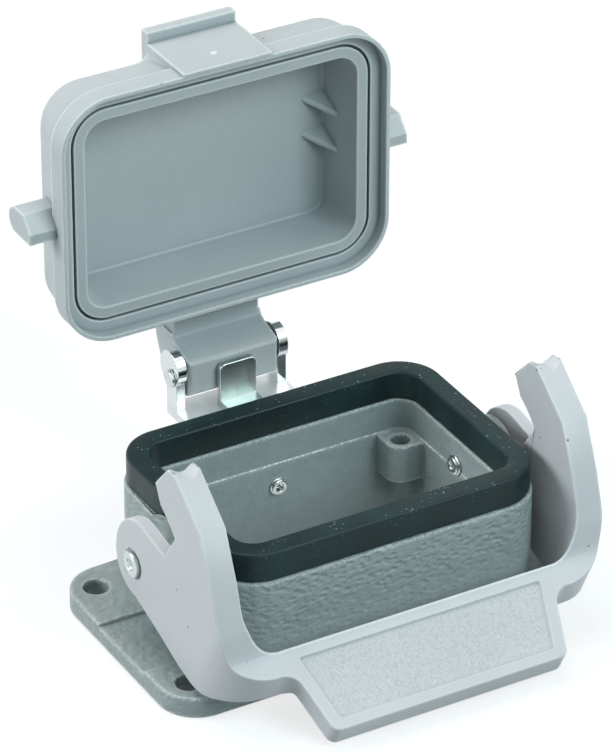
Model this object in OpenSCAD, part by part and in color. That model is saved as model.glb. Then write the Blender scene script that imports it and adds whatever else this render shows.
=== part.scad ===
// Panel-mount housing of a rectangular multi-pole connector, with a hinged cover and a locking lever.
// X runs along the flange, Y towards the hinge, Z up. The origin is the centre of the mounting face.
// The cover is drawn open, standing upright behind the housing, and the lever lies open in front.

/* [Flange] */
// Length of the mounting flange
flange_l = 79.6; // [77:0.2:90]
// Width of the mounting flange
flange_w = 43.4; // [43.4:0.2:52]
// Thickness of the mounting flange
flange_t = 3.7; // [2.5:0.1:6]
// Corner radius of the flange
flange_r = 7; // [3:0.5:9]
// Screw pitch along the flange
screw_pitch_x = 70; // [67:0.5:72]
// Screw pitch across the flange
screw_pitch_y = 32; // [26:0.5:34]
// Diameter of the panel screw holes
screw_d = 4.3; // [3:0.1:5.4]
// Width of the shallow field at each end of the flange
field_w = 15.4; // [8:0.2:20]
// Depth of the shallow field
field_depth = 0.7; // [0.3:0.1:1.5]
// Distance of the shallow field in front of the flange's middle
field_front = 1.8; // [0:0.1:2.4]

/* [Housing walls] */
// Outer length of the walls
wall_l = 59.4; // [57:0.2:62]
// Outer width of the walls
wall_w = 43.2; // [40:0.2:43.4]
// Wall thickness above the ledge
wall_t = 4.5; // [4:0.1:4.8]
// Outer corner radius of the walls
wall_r = 8; // [7:0.25:10]
// Height of the walls above the flange, up to the seal
wall_h = 18.4; // [17:0.2:24]
// Height of the inner ledge above the flange
ledge_h = 12.7; // [10:0.1:13]
// How far the ledge stands in from the wall
ledge_in = 0.3; // [0.2:0.1:0.8]

/* [Insert bosses] */
// Boss pitch along the housing
boss_pitch_x = 44; // [42:0.5:45]
// Boss pitch across the housing
boss_pitch_y = 27; // [25:0.5:28]
// Diameter of a boss's round nose
boss_d = 5.8; // [5.2:0.2:7]
// Diameter of the tapped hole in a boss
boss_hole_d = 3.3; // [2.5:0.1:4]
// Height of a boss
boss_h = 7.1; // [4:0.1:9]

/* [Seals] */
// How far the rim seal stands in from the walls' outer face
seal_in = 0.4; // [0.2:0.1:0.8]
// Width of the rim seal's section
seal_w = 3.9; // [3.4:0.1:4.4]
// Height of the rim seal
seal_h = 5.3; // [4.6:0.1:7]
// Thickness of the lip that carries the rim seal
lip_t = 1.5; // [1:0.1:1.8]
// Height of the lip that carries the rim seal
lip_h = 3; // [1.5:0.1:3.6]
// Width of the flange seal
flange_seal_w = 2; // [1.4:0.1:2.4]
// Thickness of the flange seal
flange_seal_t = 1.2; // [0.8:0.1:1.6]

/* [Lever] */
// Height of the lever's pivot above the flange
pivot_h = 13.6; // [12.9:0.1:14]
// Distance of the lever's pivot behind the middle of the housing
pivot_y = 0.7; // [-1:0.1:2]
// Thickness of a lever arm
arm_t = 4.8; // [4:0.1:6]
// Depth of the recess round the hub on an arm's inner side
hub_recess = 2.5; // [1:0.1:2.8]
// Radius of the recess round the hub
recess_r = 13.6; // [9:0.2:14]
// Radius of the round pad that carries the hub
pad_r = 6.6; // [6:0.1:8]
// Radius of the hub's lower and rear side
hub_r = 6.1; // [5.6:0.1:6.6]
// Radius of the hub's rounded top
hub_top_r = 8.6; // [8:0.1:8.8]
// Angle from the open to the locked position
lever_swing = 36; // [32:1:38]
// Tilt of the slot's floor in the open position
slot_tilt = 9.5; // [6:0.5:12]
// Distance from the pivot to the front face at the lever's foot
lever_front = 29.3; // [28.5:0.1:32]
// Height of a finger's tip above the pivot
finger_h = 25; // [24:0.1:28]
// Distance from the pivot forward to a finger's tip
finger_front = 14.4; // [13.5:0.1:16]
// Angle from the vertical of the direction in which the lever's outline is drawn
draw_tilt = 26; // [10:1:40]
// Width of the bar between the arms, in front of the inner edge
bar_w = 4.1; // [3:0.1:5]
// Outer corner radius where an arm turns into the bar
corner_r = 8.8; // [6:0.1:10]
// Inner corner radius where an arm turns into the bar
inner_r = 5.6; // [3:0.1:7]
// Radius of the hollow blend from the handle up to an arm's front face
blend_r = 4.2; // [2:0.1:4.6]

/* [Handle] */
// Length of the handle's face down the slope, from the inner edge to the free edge
handle_l = 15.2; // [12:0.1:15.6]
// Slope of the handle in the open position
handle_slope = 38.7; // [36:0.1:40]
// Thickness of the handle plate
handle_t = 3.9; // [2.5:0.1:4]
// Width of the handle at its root
handle_root_w = 48.8; // [42:0.2:51]
// Width of the handle at its free edge
handle_edge_w = 43.6; // [36:0.2:46]
// Corner radius at the handle's free edge
handle_r = 1.8; // [1:0.1:3]
// Radius of the hollow corner between bar and handle
hollow_r = 3; // [1.5:0.1:3.6]
// Border round the sunken grip field
grip_border = 2; // [1.4:0.1:3]
// Depth of the sunken grip field
grip_depth = 0.4; // [0.2:0.1:0.8]

/* [Cover] */
// Thickness of the cover's outer rim lip
rim_lip_t = 0.7; // [0.6:0.05:0.9]
// Width of the ledge between the cover's outer and inner lip
rim_ledge_w = 2.5; // [1.6:0.1:2.6]
// Width of the narrow groove beside the inner lip
rim_groove_w = 0.5; // [0.3:0.1:1.2]
// Width of the cover's inner lip, which presses on the seal
rim_press_w = 1.7; // [1.4:0.1:2.2]
// Step from the outer rim lip up to the ledge and the inner lip
rim_step = 2.1; // [1.5:0.1:3]
// Depth of the narrow groove
rim_groove_h = 1.2; // [0.3:0.1:2.2]
// Height of the band round the rim
band_h = 4; // [3:0.1:5]
// How far the cup stands in from the band
cup_in = 0.3; // [0.2:0.1:1]
// Overall height of the cover's cup
cover_h = 13.6; // [12.5:0.1:16]
// Radius of the cup's rounded upper edge
cup_round = 4; // [3:0.1:5]
// Taper of the cup's walls over their height
cup_draft = 1.2; // [0.4:0.1:1.6]
// Thickness of the cup's top wall
cup_t = 1.6; // [1.2:0.1:2.4]
// Radius of the cup's inner upper edge
hollow_round = 0.5; // [0.4:0.1:2]
// Width of the pull tab
tab_w = 16.6; // [12:0.2:22]
// How far the tab's pad stands out from the rim
tab_pad = 0.5; // [0.2:0.1:1]
// How far the tab's lip stands out from the pad
tab_lip = 1.9; // [1:0.1:2.2]
// Thickness of the tab's lip
tab_lip_t = 2; // [1:0.1:2.4]
// How far the tab reaches beyond the cup
tab_over = 1; // [0.4:0.1:2]
// Radius of the hollow corners between the tab and the cup
tab_flare = 2; // [1:0.1:3]
// Distance between the two wedge ribs on an end wall
rib_pitch = 6.8; // [6:0.1:9]
// How far a wedge rib stands out
rib_out = 5.4; // [3:0.1:7]
// Width of a locking peg
peg_w = 4.6; // [4:0.1:5]
// Height of a locking peg
peg_h = 7.5; // [6.5:0.1:8]
// Height of a peg's underside above the rim
peg_rise = 2.6; // [2.4:0.1:3]
// Height of the chamfer on a peg's front
peg_chamfer_h = 2.4; // [1.5:0.1:3]
// Depth of the chamfer on a peg's front
peg_chamfer_w = 2.8; // [2.4:0.1:3.2]

/* [Hinge] */
// Distance of the hinge axis behind the middle of the housing
hinge_y = 34.4; // [33.5:0.1:37]
// Distance of the hinge axis below the top of the rim seal
hinge_drop = 0.3; // [-0.5:0.1:1]
// Diameter of the hinge pin
pin_d = 2.6; // [2:0.1:3]
// Width of the cover's hinge block
block_w = 17.2; // [14:0.2:20]
// Distance from the hinge axis to the block's front face
block_r = 2.7; // [2.4:0.1:2.9]
// Radius of the block's upright front edges
block_round = 0.8; // [0.4:0.1:1.5]
// Width of the neck between the block and the cup
neck_w = 16.4; // [13:0.2:17]
// Sheet thickness of the hinge bracket
sheet_t = 1.7; // [1:0.1:2]
// Radius of the bracket's ears
ear_r = 3.2; // [3:0.1:4]
// Distance of the ears' rounding above the hinge axis
ear_up = 1.6; // [0:0.1:1.6]
// Width of a bracket ear below the pin
ear_w = 3.4; // [3.2:0.1:5]
// Height of the bracket's foot on the back wall
foot_h = 14; // [12:0.1:16]
// Width of the leaf spring
leaf_w = 7; // [4:0.2:9]
// Thickness of the leaf spring
leaf_t = 1.3; // [0.6:0.1:1.6]
// Height that the leaf rises above the hinge axis
leaf_rise = 2.6; // [1:0.1:3]

/* [Rivets] */
// Diameter of the lever rivets
rivet_d = 2.6; // [2.2:0.1:3.2]
// Diameter of the bracket rivet
bracket_rivet_d = 2.2; // [1.8:0.1:3]
// Thickness of a rivet head
head_t = 0.8; // [0.5:0.1:1.2]
// How far a rivet head stands out beyond its shank, all round
head_over = 1; // [0.6:0.1:1.4]
// How far a washer stands out beyond the shank, all round
washer_over = 0.5; // [0.4:0.1:1]
// Thickness of the washers at the closed rivet ends
washer_t = 0.5; // [0.3:0.1:0.8]

/* [Clearances] */
// Radial play of a turning joint
pin_play = 0.08; // [0.05:0.01:0.1]
// Play between pieces that move past each other
run_gap = 0.3; // [0.25:0.05:0.5]
// Play of pieces that are pushed together
push_gap = 0.05; // [0.02:0.01:0.1]
// Gap between the rim seal and the cover's outer rim lip
rim_gap = 0.8; // [0.4:0.05:0.9]
// Gap between the cover's rim and the lever's fingers
finger_gap = 0.4; // [0.3:0.05:0.8]
// Gap between a locked peg and the floor of the lever's slot
peg_gap = 0.35; // [0.3:0.05:0.6]
// Gap between a locked peg and the roof of the slot
roof_gap = 0.9; // [0.35:0.05:1.2]
// Gap between a locked peg and the end of the slot
end_gap = 1.1; // [0.5:0.1:1.5]

/* [Hidden] */
$fn = 72;
cast_color = "#8f979a";
grey_color = "#c2c8cb";
cover_color = "#b3bcc0";
rubber_color = "#23292b";
steel_color = "#d8dcdd";
// Overshoot of a cut beyond the face that it opens
cut = 1;

// Housing levels and openings
shoulder_z = flange_t + wall_h;
ledge_z = flange_t + ledge_h;
open_l = wall_l - 2 * wall_t;
open_w = wall_w - 2 * wall_t;
open_r = wall_r - wall_t;
groove_in = wall_t - ledge_in - (wall_t - ledge_in - flange_seal_w) / 2;

// Rim seal, and the lip in the middle of its section
seal_l = wall_l - 2 * seal_in;
seal_y = wall_w - 2 * seal_in;
seal_r = wall_r - seal_in;
seal_top = shoulder_z + seal_h;
lip_in = (seal_w - lip_t) / 2;

// Cover rim, closed. The inner lip's face lies just above the seal.
rim_z = seal_top + run_gap - rim_step;
rim_l = seal_l + 2 * (rim_gap + rim_lip_t);
rim_w = seal_y + 2 * (rim_gap + rim_lip_t);
rim_r = seal_r + rim_gap + rim_lip_t;
cup_l = rim_l - 2 * cup_in;
cup_w = rim_w - 2 * cup_in;
cup_r = rim_r - cup_in;
cup_top = rim_z + cover_h;
press_in = rim_lip_t + rim_ledge_w;
hollow_in = press_in + rim_press_w;

// Lever: the arms clear the cover's rim, and the hub clears the pads on the end walls
pivot_z = flange_t + pivot_h;
arm_x = rim_l / 2 + finger_gap;
arm_out = arm_x + arm_t;
hub_x = arm_x + hub_recess;
pad_x = hub_x - run_gap;
spot_t = 0.4;

// Locking pegs, closed
peg_z = rim_z + peg_rise;
peg_top = peg_z + peg_h;
peg_x = arm_out - 0.3;
slot_r = peg_top - pivot_z + roof_gap;
slot_end = peg_w / 2 + pivot_y + end_gap;
floor_turn = lever_swing - slot_tilt;
peg_corner = [-peg_w / 2 + peg_chamfer_w - pivot_y, peg_z - pivot_z];
slot_floor = peg_corner[0] * sin(floor_turn) + peg_corner[1] * cos(floor_turn) - peg_gap;

// Lever's foot about the pivot: the upper edge of the handle's face, where the arms' front faces begin
foot_drop = 3.4;
foot = [-lever_front, -foot_drop];
front_lean = atan2(0.6, 1.8 + foot_drop);
// Turn of the hollow blend at the foot, and its length along each face
blend_turn = 90 - front_lean - handle_slope;
blend_run = blend_r * tan(blend_turn / 2);
// The same levels across the direction in which the outline is drawn
squeeze = cos(handle_slope - draw_tilt);
inner_w = foot[0] * cos(draw_tilt) + foot[1] * sin(draw_tilt);
bar_front = inner_w - bar_w * squeeze;
edge_w = inner_w - handle_l * squeeze;

// Hinge, and the levels of the bracket
hinge_z = seal_top - hinge_drop;
back_y = wall_w / 2;
shelf_z = shoulder_z - 0.8;
bracket_w = block_w + 2 * (run_gap + sheet_t);
ear_y = hinge_y - 1.8;
leaf_y = hinge_y - block_r - run_gap - leaf_t;
rivet_z = shelf_z - 9.1;

// Rectangle with rounded corners, centred
module rounded_rect(l, w, r) {
    square([l, w - 2 * r], center = true);
    square([l - 2 * r, w], center = true);
    for (sx = [-1, 1], sy = [-1, 1])
        translate([sx * (l / 2 - r), sy * (w / 2 - r)])
            circle(r = r);
}

// Closed band along a rounded rectangle, from its outer edge inwards
module band(l, w, r, from, to) {
    difference() {
        rounded_rect(l - 2 * from, w - 2 * from, r - from);
        rounded_rect(l - 2 * to, w - 2 * to, r - to);
    }
}

// Side view in Y and Z, drawn out along X from x0 to x1
module along_x(x0, x1) {
    translate([x0, 0, 0])
        rotate([90, 0, 90])
            linear_extrude(x1 - x0)
                children();
}

// Round bar along X
module rod_x(x0, x1, y, z, r) {
    translate([x0, y, z])
        rotate([0, 90, 0])
            cylinder(h = x1 - x0, r = r);
}

// Round bar along Y
module rod_y(y0, y1, z, r) {
    translate([0, y0, z])
        rotate([-90, 0, 0])
            cylinder(h = y1 - y0, r = r);
}

module at_bosses() {
    for (sx = [-1, 1], sy = [-1, 1])
        scale([sx, sy, 1])
            translate([boss_pitch_x / 2, boss_pitch_y / 2, 0])
                children();
}

// One boss: a block in the corner with a round nose
module boss() {
    nose = boss_d / 2;
    reach_x = (open_l - boss_pitch_x) / 2 + cut;
    reach_y = (open_w - boss_pitch_y) / 2 + cut;
    translate([0, 0, ledge_z - boss_h])
        linear_extrude(boss_h) {
            circle(r = nose);
            translate([-nose, 0])
                square([nose + reach_x, reach_y]);
            translate([0, -nose])
                square([reach_x, nose + reach_y]);
        }
}

module housing_shell() {
    difference() {
        union() {
            linear_extrude(flange_t)
                rounded_rect(flange_l, flange_w, flange_r);
            linear_extrude(shoulder_z)
                rounded_rect(wall_l, wall_w, wall_r);
            translate([0, 0, shoulder_z])
                linear_extrude(lip_h)
                    band(seal_l, seal_y, seal_r, lip_in, lip_in + lip_t);
            for (side = [-1, 1])
                scale([side, 1, 1])
                    rod_x(wall_l / 2 - cut, pad_x, pivot_y, pivot_z, pad_r);
        }
        translate([0, 0, ledge_z])
            linear_extrude(shoulder_z)
                rounded_rect(open_l, open_w, open_r);
        translate([0, 0, shoulder_z])
            linear_extrude(seal_h)
                band(seal_l, seal_y, seal_r, -push_gap, lip_in - push_gap);
        translate([0, 0, -cut])
            linear_extrude(shoulder_z)
                rounded_rect(open_l - 2 * ledge_in, open_w - 2 * ledge_in, open_r - ledge_in);
    }
}

module housing() {
    color(cast_color)
    difference() {
        union() {
            housing_shell();
            at_bosses()
                boss();
        }
        at_bosses()
            cylinder(h = shoulder_z, d = boss_hole_d);
        for (sx = [-1, 1], sy = [-1, 1])
            translate([sx * screw_pitch_x / 2, sy * screw_pitch_y / 2, -cut])
                cylinder(h = flange_t + 2 * cut, d = screw_d);
        for (side = [-1, 1]) scale([side, 1, 1]) {
            translate([wall_l / 2 + 1.4, -field_w / 2 - field_front, flange_t - field_depth])
                cube([flange_l, field_w, flange_t]);
            rod_x(0, pad_x + cut, pivot_y, pivot_z, rivet_d / 2 + push_gap);
            rod_x(0, open_l / 2, pivot_y, pivot_z, rivet_d / 2 + washer_over + 2 * push_gap);
        }
        rod_y(0, back_y + cut, rivet_z, bracket_rivet_d / 2 + push_gap);
        translate([0, 0, -cut])
            linear_extrude(flange_seal_t + cut)
                band(wall_l, wall_w, wall_r, groove_in - flange_seal_w, groove_in);
    }
}

module rim_seal() {
    color(rubber_color)
    difference() {
        translate([0, 0, shoulder_z])
            linear_extrude(seal_h)
                band(seal_l, seal_y, seal_r, 0, seal_w);
        translate([0, 0, shoulder_z - cut])
            linear_extrude(lip_h + push_gap + cut)
                band(seal_l, seal_y, seal_r, lip_in - push_gap, lip_in + lip_t + push_gap);
    }
}

module flange_seal() {
    color(rubber_color)
    linear_extrude(flange_seal_t)
        band(wall_l, wall_w, wall_r, groove_in - flange_seal_w + push_gap, groove_in - push_gap);
}

// Slot for the peg, about the pivot: concentric roof, floor under the peg, end in front of the peg
module slot_shape() {
    big = 2 * slot_r;
    intersection() {
        circle(r = slot_r);
        rotate(slot_tilt)
            translate([-big, slot_floor])
                square([2 * big, big]);
        rotate(lever_swing)
            translate([-slot_end, -big])
                square([big, 2 * big]);
    }
}

// Side view of the lever about the pivot, before the slot and the hollow at the foot are cut
module lever_blank() {
    front = foot[0];
    along = [cos(handle_slope), sin(handle_slope)];
    under = handle_t * [sin(handle_slope), -cos(handle_slope)];
    tip = foot - (handle_l + handle_t) * along;
    polygon([
        [front + 6.6, 18.4],
        [front + 3, 9.8],
        [front + 0.6, 1.8],
        foot + blend_run * [sin(front_lean), cos(front_lean)],
        foot - blend_run * along,
        tip,
        tip + under,
        foot + under - 6.2 * along,
        [front + 0.8, -11.6],
        [-22.5, -12.4],
        [-19, -12],
        [-15.5, -11.2],
        [-5.7, -7.7],
        [1, 0.4 - hub_r],
        [-3.8, slot_floor - 1.5],
        [-9.8, slot_r - 2.8],
        [-8, finger_h - 4.9],
        [-finger_front + 2.2, finger_h - 0.3],
        [-finger_front, finger_h]
    ]);
    circle(r = hub_r);
    intersection() {
        rotate(slot_tilt)
            translate([-2.5, slot_floor + 0.05 - hub_top_r])
                circle(r = hub_top_r);
        translate([-hub_top_r, 0])
            square(2 * hub_top_r);
    }
}

// Hollow blend in the corner between the handle's face and the arms' front faces
module foot_hollow() {
    bisector = 90 + (handle_slope - front_lean) / 2 + 45;
    reach = blend_r / cos(blend_turn / 2);
    translate(foot + reach * [cos(bisector), sin(bisector)])
        circle(r = blend_r);
}

module lever_profile() {
    translate([pivot_y, pivot_z])
        difference() {
            lever_blank();
            slot_shape();
            foot_hollow();
        }
}

// Outline of the lever across its draw direction: a U with rounded corners
module lever_u() {
    rear = 4 * hub_r;
    difference() {
        union() {
            translate([-arm_out, bar_front + corner_r])
                square([2 * arm_out, rear - bar_front - corner_r]);
            translate([-arm_out + corner_r, bar_front])
                square([2 * (arm_out - corner_r), rear - bar_front]);
            for (side = [-1, 1])
                translate([side * (arm_out - corner_r), bar_front + corner_r])
                    circle(r = corner_r);
        }
        translate([-arm_x, inner_w + inner_r])
            square([2 * arm_x, 2 * rear - inner_w]);
        translate([-arm_x + inner_r, inner_w])
            square([2 * (arm_x - inner_r), 2 * rear - inner_w]);
        for (side = [-1, 1])
            translate([side * (arm_x - inner_r), inner_w + inner_r])
                circle(r = inner_r);
    }
}

// Outline of the tapered handle in front of the bar, with round free corners and hollow root corners
module handle_outline() {
    root = handle_root_w / 2;
    free = handle_edge_w / 2;
    drop = bar_front - edge_w;
    taper = root - free;
    side_l = norm([taper, drop]);
    normal = [drop, -taper] / side_l;
    lean = (side_l - taper) / drop;
    end = [free - handle_r * lean, edge_w + handle_r];
    turn = end + handle_r * normal;
    inset = [root + hollow_r * lean, bar_front - hollow_r];
    foot_x = inset[0];
    side = inset - hollow_r * normal;
    difference() {
        union() {
            polygon([[foot_x, bar_front + cut], [-foot_x, bar_front + cut], [-foot_x, bar_front],
                [-side[0], side[1]], [-turn[0], turn[1]], [-end[0], end[1]], [-end[0], edge_w],
                [end[0], edge_w], end, turn, side, [foot_x, bar_front]]);
            for (hand = [-1, 1])
                translate([hand * end[0], end[1]])
                    circle(r = handle_r);
        }
        for (hand = [-1, 1])
            translate([hand * inset[0], inset[1]])
                circle(r = hollow_r);
    }
}

// Sunken grip field in the slope of the handle
module grip_field() {
    top = handle_root_w / 2 - grip_border;
    low = handle_edge_w / 2 - grip_border;
    translate([0, pivot_y + foot[0], pivot_z + foot[1]])
        rotate([handle_slope, 0, 0])
            translate([0, 0, -grip_depth])
                linear_extrude(grip_depth + cut)
                    polygon([[-top, -grip_border], [top, -grip_border],
                        [low, grip_border - handle_l], [-low, grip_border - handle_l]]);
}

// Groove over a finger's tip, along its top and down its sloping rear edge
module tip_groove() {
    groove_r = 2.6;
    depth = 0.8;
    slant = atan2(3.6, 4.5);
    lift = groove_r - depth;
    translate([arm_x + arm_t / 2, pivot_y, pivot_z]) {
        translate([0, -10.4 + lift * cos(slant), finger_h - 2.55 + lift * sin(slant)])
            rotate([slant, 0, 0])
                cylinder(h = 14, r = groove_r, center = true);
        translate([0, -finger_front, finger_h - 0.1 + lift])
            rotate([90, 0, 0])
                cylinder(h = 9, r = groove_r, center = true);
    }
}

module locking_lever() {
    color(grey_color)
    difference() {
        intersection() {
            along_x(-arm_out, arm_out)
                lever_profile();
            translate([0, pivot_y, pivot_z])
                rotate([draw_tilt, 0, 0])
                    linear_extrude(160, center = true) {
                        lever_u();
                        handle_outline();
                    }
        }
        grip_field();
        for (side = [-1, 1]) scale([side, 1, 1]) {
            rod_x(arm_x - cut, hub_x, pivot_y, pivot_z, recess_r);
            rod_x(hub_x - cut, arm_out + cut, pivot_y, pivot_z, rivet_d / 2 + pin_play);
            rod_x(arm_out - spot_t, arm_out + cut, pivot_y, pivot_z, rivet_d / 2 + head_over + run_gap);
            tip_groove();
        }
    }
}

// Rivet along X on the right-hand side: hollow head outside the arm, closed end inside the wall
module lever_rivet() {
    end_x = open_l / 2 - washer_t;
    head_x = arm_out - spot_t + run_gap;
    color(steel_color)
    difference() {
        union() {
            rod_x(end_x, head_x + head_t, pivot_y, pivot_z, rivet_d / 2);
            rod_x(head_x, head_x + head_t, pivot_y, pivot_z, rivet_d / 2 + head_over);
            rod_x(end_x - head_t / 2, end_x, pivot_y, pivot_z, rivet_d / 2 + washer_over / 2);
        }
        rod_x(head_x + head_t / 2, head_x + head_t + cut, pivot_y, pivot_z, rivet_d / 2 - 0.3);
        rod_x(end_x - cut, end_x + head_t, pivot_y, pivot_z, rivet_d / 2 - 0.6);
    }
}

module lever_washer() {
    color(steel_color)
    difference() {
        rod_x(open_l / 2 - washer_t, open_l / 2, pivot_y, pivot_z, rivet_d / 2 + washer_over);
        rod_x(0, open_l / 2 + cut, pivot_y, pivot_z, rivet_d / 2 + push_gap);
    }
}

module lever_rivet_left() {
    scale([-1, 1, 1])
        lever_rivet();
}

module lever_rivet_right() {
    lever_rivet();
}

module rivet_washer_left() {
    scale([-1, 1, 1])
        lever_washer();
}

module rivet_washer_right() {
    lever_washer();
}

// Cup with tapered walls and a rounded upper edge, closed at the top
module cup(l, w, r, z0, z1, taper, edge) {
    hull() {
        translate([0, 0, z0])
            linear_extrude(0.01)
                rounded_rect(l, w, r);
        for (sx = [-1, 1], sy = [-1, 1])
            translate([sx * (l / 2 - r), sy * (w / 2 - r), z1 - edge])
                rotate_extrude($fn = 48)
                    intersection() {
                        union() {
                            translate([r - taper - edge, 0])
                                circle(r = edge, $fn = 32);
                            square([r - taper - edge, edge]);
                        }
                        square([r, edge]);
                    }
    }
}

// Section of a peg in Y and Z: round top, flat foot, chamfered front
module peg_profile() {
    half = peg_w / 2;
    translate([0, peg_top - half])
        circle(r = half);
    polygon([[-half, peg_top - half], [-half, peg_z + peg_chamfer_h], [-half + peg_chamfer_w, peg_z], [half, peg_z],
        [half, peg_top - half]]);
}

// Two wedge ribs on an end wall: each rounded crest runs from the cup's top down into the wall
module end_ribs() {
    rib_h = 5.4;
    rib_y = -2.3;
    rib_skew = 2.8;
    crest_r = 0.7;
    flank = 29;
    reach = 4 * rib_out;
    wall_x = rim_l / 2 - hollow_in;
    touch = crest_r * [1 - sin(flank), cos(flank)];
    half = touch[1] + (reach - touch[0]) * tan(flank);
    for (y = [rib_y - rib_pitch / 2, rib_y + rib_pitch / 2])
        translate([wall_x - rib_out, y, cup_top - cup_t])
            rotate([atan2(rib_skew, norm([rib_out, rib_h])), -atan2(rib_out, rib_h), 0])
                linear_extrude(2 * reach, center = true) {
                    polygon([[touch[0], -touch[1]], [reach, -half], [reach, half], touch]);
                    translate([crest_r, 0])
                        circle(r = crest_r);
                }
}

// Side view of the hinge arm, closed: the block round the pin, and behind it the back of the arm
module hinge_block_profile() {
    translate([hinge_y, hinge_z])
        polygon([
            [-6.2, 3.6],
            [-5.4, 3.3],
            [-4.8, 2.2],
            [-3.5, 0.4 - block_r],
            [-3.1, -block_r],
            [2.4, -block_r],
            [3.2, 0.8 - block_r],
            [3.2, 2.6],
            [0.9, 7],
            [-3.4, 9],
            [-6.2, 9.4]
        ]);
}

// The block, with its edges towards the leaf rounded off
module hinge_block() {
    tall = 40;
    intersection() {
        along_x(-block_w / 2, block_w / 2)
            hinge_block_profile();
        translate([0, hinge_y, hinge_z - block_r + tall / 2])
            rotate([90, 0, 0])
                linear_extrude(tall, center = true)
                    rounded_rect(block_w, tall, block_round);
    }
}

// Side view of the neck, closed, from the block into the cup's back wall
module hinge_neck_profile() {
    wall_y = cup_w / 2 - cup_draft - cup_round / 2;
    polygon([[wall_y, hinge_z + 3.6], [hinge_y - 6, hinge_z + 3.6], [hinge_y - 6, hinge_z + 9.4],
        [wall_y, hinge_z + 9.6]]);
}

// Pull tab on the front wall: a pad level with the rim, with a lip along its far edge
module tab() {
    face_y = -rim_w / 2 - tab_pad;
    pad_in = tab_pad + cup_in + cup_draft + cup_round;
    end_z = cup_top + tab_over;
    translate([-tab_w / 2, face_y, rim_z])
        cube([tab_w, pad_in, end_z - rim_z]);
    translate([-tab_w / 2, face_y - tab_lip, end_z - tab_lip_t])
        cube([tab_w, tab_lip + pad_in, tab_lip_t]);
    flare_y = -cup_w / 2 + 0.2;
    translate([0, 0, rim_z + band_h])
        linear_extrude(cover_h - band_h - 1)
            difference() {
                translate([-tab_w / 2 - tab_flare, flare_y])
                    square([tab_w + 2 * tab_flare, face_y + pad_in - flare_y]);
                for (side = [-1, 1])
                    translate([side * (tab_w / 2 + tab_flare), flare_y])
                        circle(r = tab_flare);
            }
}

module cover_closed() {
    hollow_top = cup_top - cup_t;
    difference() {
        union() {
            translate([0, 0, rim_z])
                linear_extrude(band_h)
                    rounded_rect(rim_l, rim_w, rim_r);
            cup(cup_l, cup_w, cup_r, rim_z + cut, cup_top, cup_draft, cup_round);
            along_x(-peg_x, peg_x)
                peg_profile();
            hinge_block();
            along_x(-neck_w / 2, neck_w / 2)
                hinge_neck_profile();
            tab();
        }
        difference() {
            cup(rim_l - 2 * hollow_in, rim_w - 2 * hollow_in, rim_r - hollow_in, rim_z - cut, hollow_top,
                cup_draft, hollow_round);
            for (side = [-1, 1])
                scale([side, 1, 1])
                    end_ribs();
        }
        translate([0, 0, rim_z - cut])
            linear_extrude(rim_step + cut)
                rounded_rect(rim_l - 2 * rim_lip_t, rim_w - 2 * rim_lip_t, rim_r - rim_lip_t);
        translate([0, 0, rim_z])
            linear_extrude(rim_step + rim_groove_h)
                band(rim_l, rim_w, rim_r, press_in - rim_groove_w, press_in);
        rod_x(-block_w, block_w, hinge_y, hinge_z, pin_d / 2 + pin_play);
    }
}

// The closed cover, swung up about the hinge pin to its open stop
module cover() {
    color(cover_color)
    translate([0, hinge_y, hinge_z])
        rotate([-90, 0, 0])
            translate([0, -hinge_y, -hinge_z])
                cover_closed();
}

module ear_profile() {
    difference() {
        union() {
            translate([hinge_y + 0.6, hinge_z + ear_up])
                circle(r = ear_r);
            translate([ear_y, shelf_z - sheet_t])
                square([ear_w, hinge_z + ear_up - shelf_z + sheet_t]);
        }
        translate([hinge_y, hinge_z])
            circle(r = pin_d / 2 + push_gap);
    }
}

module hinge_bracket() {
    shelf_end = ear_y + ear_w;
    color(steel_color)
    difference() {
        union() {
            along_x(-bracket_w / 2, bracket_w / 2) {
                translate([back_y, shelf_z - foot_h])
                    square([sheet_t, foot_h]);
                translate([back_y, shelf_z - sheet_t])
                    square([shelf_end - back_y, sheet_t]);
            }
            for (side = [-1, 1])
                scale([side, 1, 1])
                    along_x(bracket_w / 2 - sheet_t, bracket_w / 2)
                        ear_profile();
        }
        rod_y(back_y - cut, back_y + sheet_t + cut, rivet_z, bracket_rivet_d / 2 + push_gap);
    }
}

// Leaf spring: a foot on the bracket's shelf and a tongue in front of the hinge block
module hinge_spring() {
    foot_l = 6;
    corner = 1.2;
    tip_z = hinge_z + leaf_rise;
    color(steel_color)
    intersection() {
        along_x(-leaf_w / 2, leaf_w / 2) {
            translate([leaf_y, shelf_z])
                square([leaf_t, tip_z - shelf_z]);
            translate([leaf_y - foot_l, shelf_z])
                square([foot_l + leaf_t, leaf_t]);
        }
        rotate([90, 0, 0])
            linear_extrude(200, center = true) {
                translate([-leaf_w / 2, shelf_z])
                    square([leaf_w, tip_z - shelf_z - corner]);
                translate([-leaf_w / 2 + corner, shelf_z])
                    square([leaf_w - 2 * corner, tip_z - shelf_z]);
                for (side = [-1, 1])
                    translate([side * (leaf_w / 2 - corner), tip_z - corner])
                        circle(r = corner);
            }
    }
}

// Hinge pin with a formed head at each end
module hinge_pin() {
    end_x = bracket_w / 2;
    pin_end = 0.6;
    color(steel_color) {
        rod_x(-end_x, end_x, hinge_y, hinge_z, pin_d / 2);
        for (side = [-1, 1])
            scale([side, 1, 1])
                rod_x(end_x, end_x + pin_end, hinge_y, hinge_z, pin_d / 2 + pin_end / 2);
    }
}

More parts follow.
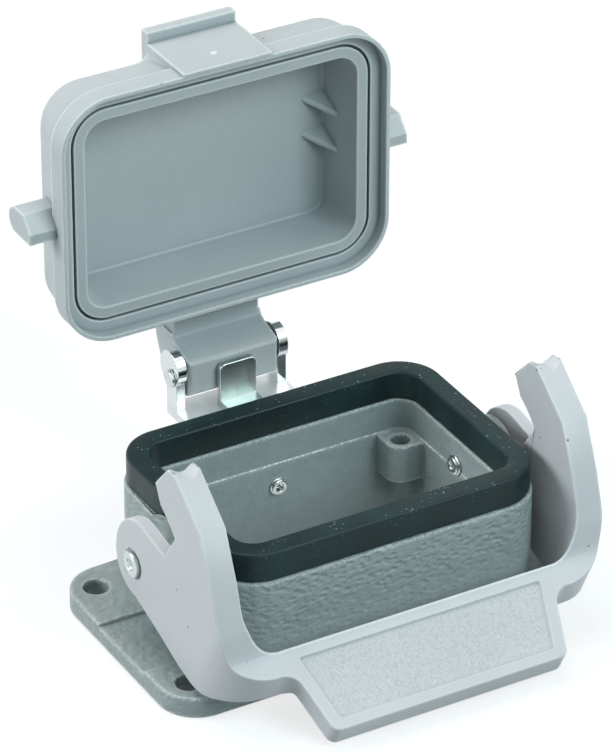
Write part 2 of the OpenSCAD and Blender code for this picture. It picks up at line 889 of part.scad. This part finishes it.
module bracket_rivet() {
    inner_y = open_w / 2 - ledge_in - washer_t;
    head_y = back_y + sheet_t;
    color(steel_color)
    difference() {
        union() {
            rod_y(inner_y, head_y, rivet_z, bracket_rivet_d / 2);
            rod_y(head_y, head_y + head_t, rivet_z, bracket_rivet_d / 2 + head_over);
            rod_y(inner_y - head_t / 2, inner_y, rivet_z, bracket_rivet_d / 2 + washer_over / 2);
        }
        rod_y(inner_y - cut, inner_y + head_t, rivet_z, bracket_rivet_d / 2 - 0.4);
    }
}

module bracket_washer() {
    face_y = open_w / 2 - ledge_in;
    color(steel_color)
    difference() {
        rod_y(face_y - washer_t, face_y, rivet_z, bracket_rivet_d / 2 + washer_over);
        rod_y(0, back_y, rivet_z, bracket_rivet_d / 2 + push_gap);
    }
}

housing();
rim_seal();
flange_seal();
locking_lever();
lever_rivet_left();
lever_rivet_right();
rivet_washer_left();
rivet_washer_right();
cover();
hinge_bracket();
hinge_spring();
hinge_pin();
bracket_rivet();
bracket_washer();
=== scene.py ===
"""Connector housing with hinged cover and locking lever.

Materials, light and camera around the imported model.
"""
import math

import bpy
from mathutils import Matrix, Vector

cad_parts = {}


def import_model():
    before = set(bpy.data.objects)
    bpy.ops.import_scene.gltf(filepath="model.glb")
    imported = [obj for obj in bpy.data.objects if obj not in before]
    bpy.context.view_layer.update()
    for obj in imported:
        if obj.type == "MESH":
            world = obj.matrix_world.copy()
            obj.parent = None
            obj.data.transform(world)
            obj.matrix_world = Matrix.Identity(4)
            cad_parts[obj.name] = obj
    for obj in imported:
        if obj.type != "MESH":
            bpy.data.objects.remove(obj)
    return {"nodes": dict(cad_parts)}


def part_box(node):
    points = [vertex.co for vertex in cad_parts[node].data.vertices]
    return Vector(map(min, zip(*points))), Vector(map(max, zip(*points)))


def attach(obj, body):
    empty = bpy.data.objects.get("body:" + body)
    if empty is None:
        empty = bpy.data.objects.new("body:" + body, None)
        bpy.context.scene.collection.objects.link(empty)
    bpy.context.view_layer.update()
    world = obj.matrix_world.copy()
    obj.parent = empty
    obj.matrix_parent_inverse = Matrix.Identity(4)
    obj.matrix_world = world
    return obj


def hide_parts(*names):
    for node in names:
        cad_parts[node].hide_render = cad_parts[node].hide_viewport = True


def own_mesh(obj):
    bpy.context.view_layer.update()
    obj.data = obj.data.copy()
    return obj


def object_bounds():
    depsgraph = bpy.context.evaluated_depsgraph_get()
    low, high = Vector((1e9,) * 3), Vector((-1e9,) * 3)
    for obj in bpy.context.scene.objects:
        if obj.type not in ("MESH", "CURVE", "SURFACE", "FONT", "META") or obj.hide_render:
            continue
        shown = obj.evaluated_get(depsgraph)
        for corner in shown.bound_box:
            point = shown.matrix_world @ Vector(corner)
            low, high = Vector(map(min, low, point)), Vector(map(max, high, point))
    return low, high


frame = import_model()
cad_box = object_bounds()
NODES = frame["nodes"]
MM = 0.001


def rgb(r, g, b):
    return (r, g, b, 1.0)


# Camera of the photograph, in the part's frame
CAM_PLACE = (-0.34354, -0.59194, 0.45703)
CAM_AZIMUTH = math.radians(-29.562)
CAM_ELEVATION = math.radians(31.235)
IMAGE_W, IMAGE_H = 613, 752
FOCAL_PX = 4928.8
CENTRE_PX = (286.61, 378.73)
SENSOR = 36.0
CLIP_START, CLIP_END = 0.01, 20.0

# Lamps: what they point at, and each one's place, side, power and colour
AIM = (0.0, 0.0, 0.04)
LAMPS = {
    "front_right": ((0.25, -0.75, 0.65), 0.5, 5.1, (0.79, 0.98, 1.0)),
    "left": ((-0.82, 0.30, 0.43), 0.5, 5.2, (0.91, 0.99, 1.0)),
    "overhead": ((-0.12, 0.20, 0.95), 0.6, 3.8, (1.0, 0.95, 0.945)),
    "right": ((0.80, -0.30, 0.50), 0.5, 1.5, (0.97, 0.98, 1.0)),
}

# Room light from below and above
ROOM_LOW, ROOM_HIGH = rgb(0.02, 0.04, 0.045), rgb(0.05, 0.08, 0.09)
WHITE = rgb(1.0, 1.0, 1.0)

# Floor: half its side, its gap below the part and its colour
FLOOR_HALF = 3.0
FLOOR_DROP = 0.2 * MM
FLOOR_GREY = rgb(0.30, 0.32, 0.33)

# Floor's glow near the part and far off, and the distances between which it grows
GLOW_NEAR, GLOW_FAR = 0.74, 1.0
GLOW_START, GLOW_END = 0.15, 0.7

# Lever's handle face: a point on its upper edge, its slope and the depth of the grip field
FOOT_Y, FOOT_Z = -28.6 * MM, 13.9 * MM
HANDLE_SLOPE = math.radians(38.7)
GRIP_DEPTH = 0.4 * MM

# Half sizes of the housing's wall, at the middle of its thickness
MID_WALL = (27 * MM, 19 * MM)

# Heights between which the housing's dimples grow deeper
CALM_Z, ROUGH_Z = 4 * MM, 22 * MM

# Sheet of the hinge bracket's ears, from the outer face inwards
EAR_SHEET = 1.9 * MM

# Top of the hinge bracket's shelf
SHELF_Z = 21.0 * MM

# Where the cover was cut from its runner, on the tab, and the mark's radius
GATE_MARK = (-0.3 * MM, 37.3 * MM, 84.7 * MM)
GATE_R = 0.9 * MM

# Masks: their reach into a deep hollow and into a corner, where shade is painted, and their samples
DEEP, CORNER = 14 * MM, 2.5 * MM
MASK_SAMPLES = 6

# Points closer than this are joined
WELD = 0.002 * MM

# Edges: the angle between faces from which there is one, and the steps of a rounded one
EDGE_ANGLE = math.radians(32.0)
EDGE_SEGMENTS = 2

# Widths of the rounded edges; the last two pieces have them in the material only
HOUSING_EDGE, LEVER_EDGE, SEAL_EDGE = 0.3 * MM, 0.25 * MM, 0.45 * MM
LEAF_EDGE, RIVET_EDGE = 0.2 * MM, 0.15 * MM
COVER_EDGE, BRACKET_EDGE = 0.35 * MM, 0.25 * MM

# Depths of the fine relief
GRAIN_DEPTH, STUB_DEPTH, PEBBLE_DEPTH = 0.06 * MM, 0.12 * MM, 0.16 * MM
DENT_DEPTH, PEEL_DEPTH, FLECK_DEPTH = 0.45 * MM, 0.22 * MM, 0.18 * MM
RUBBER_DEPTH, LINE_DEPTH = 0.10 * MM, 0.04 * MM

# How strongly the coats reflect
PLASTIC_IOR, PAINT_IOR, RUBBER_SHINE = 1.47, 1.5, 0.26

# Plastic
COVER_GREY, COVER_DARK = rgb(0.575, 0.605, 0.615), rgb(0.54, 0.575, 0.585)
LEVER_GREY, LEVER_DARK = rgb(0.715, 0.71, 0.73), rgb(0.68, 0.68, 0.70)
# The pale edge colour is partly wear and partly a painted highlight along the edges
GRAIN_PALE, EDGE_WEAR_AND_HIGHLIGHT = rgb(0.90, 0.92, 0.93), rgb(0.92, 0.94, 0.95)
# Painted shade for deep hollows and for corners, and a painted shadow line for small creases
HOLLOW_SHADE, CORNER_SHADE, CREASE_SHADOW = rgb(0.24, 0.32, 0.34), rgb(0.28, 0.34, 0.35), rgb(0.20, 0.25, 0.26)
PINHOLE, GATE_PALE = rgb(0.10, 0.13, 0.14), rgb(0.88, 0.90, 0.91)
# In the grip field: painted shade in the pits of the grain, and painted glints
GRIP_PIT_SHADE, GRIP_GLINT = rgb(0.40, 0.44, 0.46), rgb(0.92, 0.93, 0.95)

# Hammertone paint
PAINT_GREY, PAINT_DARK = rgb(0.38, 0.437, 0.433), rgb(0.345, 0.405, 0.404)
# The dark pit colour also serves as painted shade in the coat's corners and deep hollows
PAINT_FLECK, PAINT_PIT_AND_SHADE = rgb(0.70, 0.74, 0.73), rgb(0.165, 0.215, 0.22)
# Rubbed edges, partly painted glints along them
PAINT_WORN_AND_GLINT = rgb(0.86, 0.88, 0.87)

# Rubber
RUBBER_BLACK, RUBBER_BLOOM = rgb(0.006, 0.020, 0.022), rgb(0.012, 0.036, 0.038)
DUST = rgb(0.42, 0.50, 0.50)

# Steel, and what its cloudy film leaves of each colour
# The dull sheet colour is painted shade on the faces of the sheet that don't face up
SHEET_BRIGHT, SHEET_SIDE_SHADE = rgb(0.96, 0.97, 0.97), rgb(0.66, 0.69, 0.69)
SPRING_GREY, PLATED_GREY = rgb(0.52, 0.56, 0.54), rgb(0.64, 0.67, 0.67)
FILM = (0.90, 0.94, 0.95)


class Graph:
    """Small helper to build one material's node tree."""

    def __init__(self, name):
        self.material = bpy.data.materials.new(name)
        self.material.use_nodes = True
        self.tree = self.material.node_tree
        self.shader = self.tree.nodes["Principled BSDF"]
        coords = self.add("ShaderNodeTexCoord")
        self.place, self.normal = coords.outputs["Object"], coords.outputs["Normal"]
        # Colour and normal so far, for a material that adds to them
        self.tone = self.relief = None

    def add(self, kind, **settings):
        node = self.tree.nodes.new(kind)
        for key, value in settings.items():
            setattr(node, key, value)
        return node

    def feed(self, socket, value):
        if isinstance(value, bpy.types.NodeSocket):
            self.tree.links.new(value, socket)
        else:
            socket.default_value = value

    def set(self, **values):
        """Feeds the shader's inputs, with underscores for the spaces in their names."""
        for key, value in values.items():
            self.feed(self.shader.inputs[key.replace("_", " ")], value)

    def split(self, vector):
        """A vector's x, y and z."""
        node = self.add("ShaderNodeSeparateXYZ")
        self.feed(node.inputs[0], vector)
        return node.outputs

    def vector(self, kind, a, b=None):
        node = self.add("ShaderNodeVectorMath", operation=kind)
        self.feed(node.inputs[0], a)
        if b:
            node.inputs[1].default_value = b
        return node.outputs

    def noise(self, per_m, detail=2.0, rough=0.5, place=None):
        node = self.add("ShaderNodeTexNoise")
        self.feed(node.inputs["Vector"], place or self.place)
        node.inputs["Scale"].default_value = per_m
        node.inputs["Detail"].default_value = detail
        node.inputs["Roughness"].default_value = rough
        return node.outputs["Fac"]

    def cells(self, per_m, feature="F1", place=None):
        """Distance to the middle of the nearest cell."""
        node = self.add("ShaderNodeTexVoronoi", feature=feature)
        self.feed(node.inputs["Vector"], place or self.place)
        node.inputs["Scale"].default_value = per_m
        if feature == "SMOOTH_F1":
            node.inputs["Smoothness"].default_value = 0.6
        return node.outputs["Distance"]

    def ramp(self, value, low, high, out_low=0.0, out_high=1.0):
        """A smooth step from out_low to out_high as the value goes from low to high."""
        node = self.add("ShaderNodeMapRange", interpolation_type="SMOOTHSTEP")
        self.feed(node.inputs["Value"], value)
        ends = {"From Min": low, "From Max": high, "To Min": out_low, "To Max": out_high}
        for key, number in ends.items():
            node.inputs[key].default_value = number
        return node.outputs["Result"]

    def math(self, kind, a, b=0.0):
        node = self.add("ShaderNodeMath", operation=kind)
        self.feed(node.inputs[0], a)
        self.feed(node.inputs[1], b)
        return node.outputs[0]

    def times(self, a, b):
        return self.math("MULTIPLY", a, b)

    def mix(self, factor, a, b):
        node = self.add("ShaderNodeMix", data_type="RGBA")
        self.feed(node.inputs["Factor"], factor)
        self.feed(node.inputs["A"], a)
        self.feed(node.inputs["B"], b)
        return node.outputs["Result"]

    def bump(self, height, strength, depth, normal=None):
        node = self.add("ShaderNodeBump")
        self.feed(node.inputs["Height"], height)
        self.feed(node.inputs["Strength"], strength)
        node.inputs["Distance"].default_value = depth
        if normal:
            self.feed(node.inputs["Normal"], normal)
        return node.outputs["Normal"]

    def rounded(self, radius):
        """Normal with the piece's sharp edges rounded off, or none without a radius."""
        if not radius:
            return None
        node = self.add("ShaderNodeBevel", samples=MASK_SAMPLES)
        node.inputs["Radius"].default_value = radius
        return node.outputs["Normal"]

    def near(self, reach, inside, low, high):
        """1 where the piece's own faces are near: beside an edge (inside) or in a hollow."""
        node = self.add("ShaderNodeAmbientOcclusion", inside=inside, only_local=True,
                        samples=MASK_SAMPLES)
        node.inputs["Distance"].default_value = reach
        return self.ramp(node.outputs["AO"], low, high, 1.0, 0.0)

    def edges(self, reach, low, high):
        return self.near(reach, True, low, high)

    def hollows(self, reach, low, high, share):
        return self.times(self.near(reach, False, low, high), share)


def moulded(name, base, dark, roughness, edge=None):
    """Moulded light grey plastic: flow marks, fine grain, edges pale with wear and painted
    highlight, painted shade in hollows and corners, a painted shadow line in creases, rare
    pinholes.
    """
    g = Graph(name)
    flow = g.ramp(g.noise(55, 3.0), 0.3, 0.7)
    grain = g.noise(3600, 2.0, 0.6)
    pins = g.ramp(g.cells(180), 0.028, 0.044)
    tone = g.mix(flow, base, dark)
    tone = g.mix(g.ramp(grain, 0.35, 0.65, 0.0, 0.10), tone, GRAIN_PALE)
    # Painted shade in the piece's deep hollows
    tone = g.mix(g.hollows(DEEP, 0.25, 0.85, 0.42), tone, HOLLOW_SHADE)
    # Pale edges: partly wear, partly painted highlight
    wear_and_highlight = g.times(g.edges(0.5 * MM, 0.64, 0.93), g.ramp(grain, 0.3, 0.6, 0.6, 0.95))
    tone = g.mix(wear_and_highlight, tone, EDGE_WEAR_AND_HIGHLIGHT)
    # Painted shade in the piece's corners
    tone = g.mix(g.hollows(CORNER, 0.30, 0.90, 0.32), tone, CORNER_SHADE)
    # Painted shadow line along small creases and recess borders
    tone = g.mix(g.hollows(0.7 * MM, 0.55, 0.93, 0.5), tone, CREASE_SHADOW)
    g.tone = g.mix(pins, PINHOLE, tone)
    g.relief = g.bump(grain, 0.12, GRAIN_DEPTH, g.rounded(edge))
    gloss = g.ramp(g.noise(240, 2.0), 0.25, 0.75, roughness - 0.05, roughness + 0.07)
    g.set(Base_Color=g.tone, Normal=g.relief, Roughness=gloss, IOR=PLASTIC_IOR)
    return g


def cover_material():
    """Moulded grey with the pale stub of the runner on the tab."""
    g = moulded("cover_grey", COVER_GREY, COVER_DARK, 0.42, edge=COVER_EDGE)
    away = g.vector("DISTANCE", g.place, GATE_MARK)["Value"]
    ragged = g.math("ADD", away, g.times(g.noise(1500, 2.0), 0.9 * MM))
    mark = g.ramp(ragged, GATE_R, GATE_R + 0.3 * MM, 1.0, 0.0)
    tone = g.mix(mark, g.tone, GATE_PALE)
    g.set(Base_Color=tone, Normal=g.bump(mark, 0.6, STUB_DEPTH, g.relief))
    return g.material


def lever_material():
    """Moulded grey with a coarse pebbled grain in the sunken grip field, painted glints across it
    and painted shade in the pits of the grain.
    """
    g = moulded("lever_grey", LEVER_GREY, LEVER_DARK, 0.40)
    out_y, out_z = -math.sin(HANDLE_SLOPE), math.cos(HANDLE_SLOPE)
    place = g.split(g.place)
    above_y = g.times(g.math("SUBTRACT", place[1], FOOT_Y), out_y)
    above_z = g.times(g.math("SUBTRACT", place[2], FOOT_Z), out_z)
    depth = g.math("ADD", g.math("ADD", above_y, above_z), GRIP_DEPTH)
    level = g.ramp(g.math("ABSOLUTE", depth), 0.05 * MM, 0.2 * MM, 1.0, 0.0)
    facing = g.vector("DOT_PRODUCT", g.normal, (0.0, out_y, out_z))["Value"]
    field = g.times(level, g.ramp(facing, 0.9, 0.97))
    pebbles = g.ramp(g.noise(2100, 3.0, 0.65), 0.3, 0.7)
    # Painted glints in the grip field, and painted shade in the pits of its grain
    glint = g.times(g.ramp(g.noise(2700, 1.0, 0.5), 0.64, 0.76, 0.0, 0.7), field)
    shade = g.times(g.ramp(pebbles, 0.1, 0.5, 0.35, 0.0), field)
    tone = g.mix(glint, g.mix(shade, g.tone, GRIP_PIT_SHADE), GRIP_GLINT)
    g.set(Base_Color=tone, Normal=g.bump(pebbles, g.times(field, 0.5), PEBBLE_DEPTH, g.relief))
    return g.material


def hammertone():
    """Grey hammertone coat: shallow dimples, fine grain, pale flecks, rubbed edges with painted
    glints, and painted shade in corners and deep hollows.
    """
    g = Graph("cast_housing")
    wide = g.vector("MULTIPLY", g.place, (0.75, 0.75, 1.2))[0]
    dents = g.noise(420, 2.0, 0.5, wide)
    peel = g.ramp(g.cells(950, "SMOOTH_F1", wide), 0.1, 0.65)
    fine = g.noise(2700, 2.0, 0.6)
    tone = g.mix(g.ramp(dents, 0.32, 0.68), PAINT_DARK, PAINT_GREY)
    tone = g.mix(g.ramp(fine, 0.60, 0.74, 0.0, 0.32), tone, PAINT_FLECK)
    tone = g.mix(g.ramp(fine, 0.26, 0.38, 0.30, 0.0), tone, PAINT_PIT_AND_SHADE)
    # Painted shade in the coat's corners and deep hollows
    tone = g.mix(g.hollows(CORNER, 0.30, 0.90, 0.35), tone, PAINT_PIT_AND_SHADE)
    tone = g.mix(g.hollows(DEEP, 0.25, 0.85, 0.40), tone, PAINT_PIT_AND_SHADE)
    # Rubbed edges, partly painted glints
    wear_and_highlight = g.times(g.edges(0.8 * MM, 0.62, 0.96), g.ramp(fine, 0.42, 0.60, 0.15, 1.0))
    tone = g.mix(wear_and_highlight, tone, PAINT_WORN_AND_GLINT)
    place = g.split(g.place)
    along = g.math("DIVIDE", g.math("ABSOLUTE", place[0]), MID_WALL[0])
    across = g.math("DIVIDE", g.math("ABSOLUTE", place[1]), MID_WALL[1])
    outside = g.ramp(g.math("MAXIMUM", along, across), 0.96, 1.04, 0.25, 1.0)
    strong = g.ramp(place[2], CALM_Z, ROUGH_Z, 0.45, 0.9)
    normal = g.bump(dents, 0.45, DENT_DEPTH)
    normal = g.bump(peel, g.times(strong, outside), PEEL_DEPTH, normal)
    normal = g.bump(fine, 0.45, FLECK_DEPTH, normal)
    gloss = g.ramp(peel, 0.3, 0.7, 0.30, 0.46)
    g.set(Base_Color=tone, Normal=normal, Roughness=gloss, IOR=PAINT_IOR)
    return g.material


def rubber():
    """Satin black rubber with a matt bloom and specks of dust, most of them on top."""
    g = Graph("seal_rubber")
    bloom = g.ramp(g.noise(130, 3.0), 0.35, 0.7)
    specks = g.ramp(g.cells(1100), 0.09, 0.19, 1.0, 0.0)
    patches = g.ramp(g.noise(260, 2.0), 0.44, 0.62, 0.0, 0.8)
    on_top = g.ramp(g.split(g.normal)[2], 0.2, 0.9, 0.25, 1.0)
    tone = g.mix(bloom, RUBBER_BLACK, RUBBER_BLOOM)
    tone = g.mix(g.times(g.times(specks, on_top), patches), tone, DUST)
    normal = g.bump(g.noise(2400, 2.0), 0.35, RUBBER_DEPTH)
    gloss = g.ramp(bloom, 0.0, 1.0, 0.36, 0.52)
    g.set(Base_Color=tone, Normal=normal, Roughness=gloss, Specular_IOR_Level=RUBBER_SHINE)
    return g.material


def steel(name, base, roughness, scratch, drawn=(0.06, 1.0, 1.0), spread=0.07, edge=None):
    """Bright plated steel: fine drawn lines, a faint cloudy film and small scratches."""
    g = Graph(name)
    lines = g.noise(5200, 2.0, 0.6, g.vector("MULTIPLY", g.place, drawn)[0])
    cloudy = rgb(*(part * film for part, film in zip(base, FILM)))
    g.tone = g.mix(g.ramp(g.noise(260, 3.0), 0.3, 0.7), base, cloudy)
    normal = g.bump(lines, scratch, LINE_DEPTH, g.rounded(edge))
    gloss = g.ramp(lines, 0.25, 0.75, roughness - spread / 2, roughness + spread)
    g.set(Base_Color=g.tone, Metallic=1.0, Normal=normal, Roughness=gloss)
    return g


def bracket_material():
    """Plated sheet: pale on its upward faces such as the shelf, with painted shade darkening the
    faces that don't face up, rubbed smooth on the two ears.
    """
    g = steel("plated_sheet", SHEET_BRIGHT, 0.20, 0.05, edge=BRACKET_EDGE)
    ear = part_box("hinge_bracket")[1][0] - EAR_SHEET
    place = g.split(g.place)
    above = g.ramp(place[2], SHELF_Z, SHELF_Z + 1.5 * MM)
    rubbed = g.times(g.ramp(g.math("ABSOLUTE", place[0]), ear - 0.4 * MM, ear), above)
    # Painted shade: the faces that don't face up are darker
    side_shade = g.ramp(g.split(g.normal)[2], 0.4, 0.9, 0.9, 0.0)
    cloud = g.ramp(g.noise(700, 2.0), 0.3, 0.7, 0.0, 0.06)
    gloss = g.math("ADD", g.ramp(rubbed, 0.0, 1.0, 0.42, 0.07), cloud)
    g.set(Base_Color=g.mix(side_shade, g.tone, SHEET_SIDE_SHADE), Roughness=gloss)
    g.set(Metallic=g.ramp(rubbed, 0.0, 1.0, 0.85, 1.0))
    return g.material


def dress(piece, material, edge=None):
    """One piece: welded faces, edges of the given width or sharp ones, smooth shading, material."""
    piece.data.materials.clear()
    piece.data.materials.append(material)
    piece.data.polygons.foreach_set("use_smooth", [True] * len(piece.data.polygons))
    weld = piece.modifiers.new("weld", "WELD")
    weld.merge_threshold = WELD
    if edge:
        soft = piece.modifiers.new("edge", "BEVEL")
        soft.width = edge
        soft.segments = EDGE_SEGMENTS
        soft.limit_method = "ANGLE"
        soft.angle_limit = EDGE_ANGLE
        soft.miter_outer = "MITER_ARC"
        soft.harden_normals = True
        soft.use_clamp_overlap = False
        soft.loop_slide = False
    else:
        crease = piece.modifiers.new("crease", "EDGE_SPLIT")
        crease.split_angle = EDGE_ANGLE
    even = piece.modifiers.new("even", "WEIGHTED_NORMAL")
    even.keep_sharp = True


def flexing_leaf():
    """A copy of the hinge spring that stands for it and rides on the housing's body."""
    leaf = bpy.data.objects.new("leaf_spring", NODES["hinge_spring"].data.copy())
    bpy.context.scene.collection.objects.link(leaf)
    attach(leaf, "housing_body")
    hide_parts("hinge_spring")
    return leaf


def soft_lamp(name, place, side, power, colour):
    lamp = bpy.data.lights.new(name, "AREA")
    lamp.shape = "RECTANGLE"
    lamp.size = lamp.size_y = side
    lamp.energy = power
    lamp.color = colour
    holder = bpy.data.objects.new(name, lamp)
    holder.location = place
    towards = Vector(AIM) - Vector(place)
    holder.rotation_euler = towards.to_track_quat("-Z", "Y").to_euler()
    bpy.context.scene.collection.objects.link(holder)


def camera():
    data = bpy.data.cameras.new("photo_camera")
    data.sensor_width = SENSOR
    data.lens = FOCAL_PX * SENSOR / IMAGE_H
    data.shift_x = (IMAGE_W / 2 - CENTRE_PX[0]) / IMAGE_H
    data.shift_y = (CENTRE_PX[1] - IMAGE_H / 2) / IMAGE_H
    data.clip_start, data.clip_end = CLIP_START, CLIP_END
    holder = bpy.data.objects.new("photo_camera", data)
    holder.location = CAM_PLACE
    holder.rotation_euler = (math.pi / 2 - CAM_ELEVATION, 0.0, CAM_AZIMUTH)
    bpy.context.scene.collection.objects.link(holder)
    bpy.context.scene.camera = holder


def seen(tree):
    """1 for camera, mirror and glass rays, which see the plain white background."""
    path = tree.nodes.new("ShaderNodeLightPath")
    total = path.outputs["Is Camera Ray"]
    for name in ("Is Glossy Ray", "Is Transmission Ray"):
        node = tree.nodes.new("ShaderNodeMath")
        node.operation = "MAXIMUM"
        tree.links.new(total, node.inputs[0])
        tree.links.new(path.outputs[name], node.inputs[1])
        total = node.outputs[0]
    return total


def world():
    """White where it is seen; to the part a dim room that is brighter towards the ceiling."""
    sky = bpy.data.worlds.new("studio")
    sky.use_nodes = True
    tree = sky.node_tree
    tree.nodes.clear()
    split = tree.nodes.new("ShaderNodeSeparateXYZ")
    coords = tree.nodes.new("ShaderNodeTexCoord")
    tree.links.new(coords.outputs["Generated"], split.inputs[0])
    shade = tree.nodes.new("ShaderNodeMix")
    shade.data_type = "RGBA"
    tree.links.new(split.outputs[2], shade.inputs["Factor"])
    shade.inputs["A"].default_value = ROOM_LOW
    shade.inputs["B"].default_value = ROOM_HIGH
    room = tree.nodes.new("ShaderNodeBackground")
    tree.links.new(shade.outputs["Result"], room.inputs["Color"])
    white = tree.nodes.new("ShaderNodeBackground")
    white.inputs["Color"].default_value = WHITE
    mix = tree.nodes.new("ShaderNodeMixShader")
    tree.links.new(seen(tree), mix.inputs[0])
    tree.links.new(room.outputs[0], mix.inputs[1])
    tree.links.new(white.outputs[0], mix.inputs[2])
    out = tree.nodes.new("ShaderNodeOutputWorld")
    tree.links.new(mix.outputs[0], out.inputs[0])
    bpy.context.scene.world = sky


def floor():
    """Studio floor: it glows where it is seen, so that it looks white and keeps a soft shadow."""
    z = cad_box[0][2] - FLOOR_DROP
    corners = [(x * FLOOR_HALF, y * FLOOR_HALF, z) for x, y in ((-1, -1), (1, -1), (1, 1), (-1, 1))]
    mesh = bpy.data.meshes.new("floor")
    mesh.from_pydata(corners, [], [(0, 1, 2, 3)])
    plane = bpy.data.objects.new("floor", mesh)
    bpy.context.scene.collection.objects.link(plane)
    g = Graph("floor_white")
    away = g.vector("LENGTH", g.place)["Value"]
    glow = g.ramp(away, GLOW_START, GLOW_END, GLOW_NEAR, GLOW_FAR)
    g.set(Base_Color=FLOOR_GREY, Roughness=0.9, Emission_Color=WHITE)
    g.set(Emission_Strength=g.times(seen(g.tree), glow))
    mesh.materials.append(g.material)


camera()
world()
floor()
for name, (place, side, power, colour) in LAMPS.items():
    soft_lamp(name, place, side, power, colour)
bpy.context.scene.view_settings.view_transform = "Standard"

SPRING = steel("spring_steel", SPRING_GREY, 0.30, 0.20, drawn=(1.0, 1.0, 0.08)).material
PLATED = steel("plated_steel", PLATED_GREY, 0.20, 0.02, drawn=(1.0, 1.0, 1.0), spread=0.03).material
RUBBER = rubber()
dress(NODES["housing"], hammertone(), HOUSING_EDGE)
dress(NODES["cover"], cover_material())
dress(NODES["locking_lever"], lever_material(), LEVER_EDGE)
for name in ("rim_seal", "flange_seal"):
    dress(NODES[name], RUBBER, SEAL_EDGE)
dress(NODES["hinge_bracket"], bracket_material())
LEAF = flexing_leaf()
dress(LEAF, SPRING, LEAF_EDGE)
for name in ("lever_rivet_left", "lever_rivet_right", "rivet_washer_left", "rivet_washer_right",
             "hinge_pin", "bracket_rivet", "bracket_washer"):
    dress(NODES[name], PLATED, RIVET_EDGE)

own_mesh(LEAF)

bpy.context.view_layer.update()
